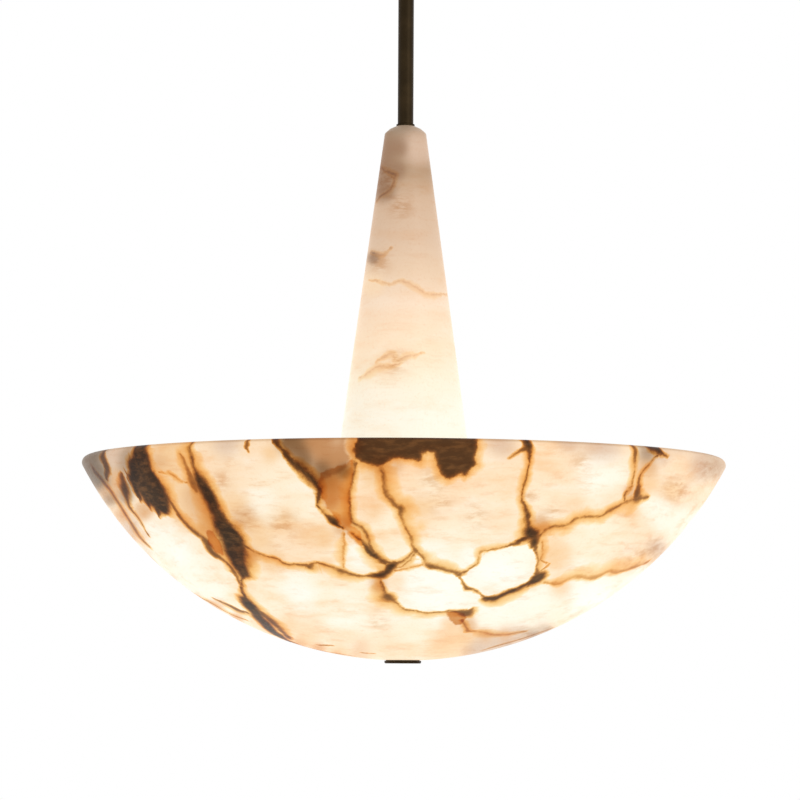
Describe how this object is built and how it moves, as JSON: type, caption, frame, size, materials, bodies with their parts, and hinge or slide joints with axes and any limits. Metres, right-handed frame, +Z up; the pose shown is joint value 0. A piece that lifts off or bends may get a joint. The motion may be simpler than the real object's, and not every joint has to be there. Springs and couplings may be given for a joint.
{
  "type": "alabaster bowl pendant",
  "caption": "Shallow lit alabaster bowl under a tapering alabaster stem, hung on a slim dark bronze rod from a round ceiling canopy with a swivel.",
  "frame": {"origin": "on the ceiling plane, at the centre of the bracket's two box-screw slots and on the pendant's axis", "axes": "+Z up along the pendant's axis; +X along the bracket's slots and the swivel's tilt axis; -Y towards the front"},
  "size_m": [0.6094, 0.6094, 0.8585],
  "materials": {
    "alabaster": "polished translucent stone with dark brown veins, lit from inside",
    "dark_bronze": "dark bronze patina, satin",
    "zinc_steel": "zinc-plated, satin",
    "brass": "plain machined",
    "green_screw": "green passivated steel",
    "rubber": "matte",
    "holder_shell": "moulded, satin",
    "porcelain": "glazed",
    "bulb_cap": "rolled thread, satin",
    "opal_glass": "opal, lit"
  },
  "bodies": {
    "ceiling_mount": {"ceiling_bracket": "zinc_steel", "ground_screw": "green_screw", "canopy_studs": "zinc_steel", "canopy": "dark_bronze", "canopy_nuts": "dark_bronze", "swivel_stop": "zinc_steel"},
    "swivel": {"swivel_seat": "dark_bronze", "swivel_collar": "dark_bronze", "swivel_pins": "zinc_steel"},
    "pendant": {"swivel_ball": "dark_bronze", "swivel_nipple": "zinc_steel", "swivel_lock_nut": "brass", "rod": "dark_bronze", "rod_top_insert": "brass", "rod_bottom_insert": "brass", "rod_washer": "dark_bronze", "centre_tube": "zinc_steel", "stem": "alabaster", "stem_gasket": "rubber", "stem_support": "zinc_steel", "support_nut": "brass", "cluster_body": "zinc_steel", "cluster_lid": "zinc_steel", "cluster_upper_nut": "brass", "cluster_lower_nut": "brass", "lamp_arm_1": "zinc_steel", "lamp_arm_2": "zinc_steel", "lamp_arm_3": "zinc_steel", "lamp_arm_4": "zinc_steel", "lampholder_1": "holder_shell", "lampholder_2": "holder_shell", "lampholder_3": "holder_shell", "lampholder_4": "holder_shell", "lamp_socket_1": "porcelain", "lamp_socket_2": "porcelain", "lamp_socket_3": "porcelain", "lamp_socket_4": "porcelain", "bulb_cap_1": "bulb_cap", "bulb_cap_2": "bulb_cap", "bulb_cap_3": "bulb_cap", "bulb_cap_4": "bulb_cap", "bulb_globe_1": "opal_glass", "bulb_globe_2": "opal_glass", "bulb_globe_3": "opal_glass", "bulb_globe_4": "opal_glass", "bowl": "alabaster", "bowl_inner_gasket": "rubber", "bowl_inner_washer": "zinc_steel", "bowl_nut": "brass", "bowl_outer_gasket": "rubber", "bottom_cap": "dark_bronze"}
  },
  "joints": [
    {"name": "swivel_turn", "type": "hinge", "parent": "ceiling_mount", "child": "swivel", "pos_m": [0, 0, -0.023], "axis": [0, 0, 1], "range_deg": [-170, 170]},
    {"name": "swivel_tilt", "type": "hinge", "parent": "swivel", "child": "pendant", "pos_m": [0, 0, -0.023], "axis": [1, 0, 0], "range_deg": [-30, 30]}
  ]
}
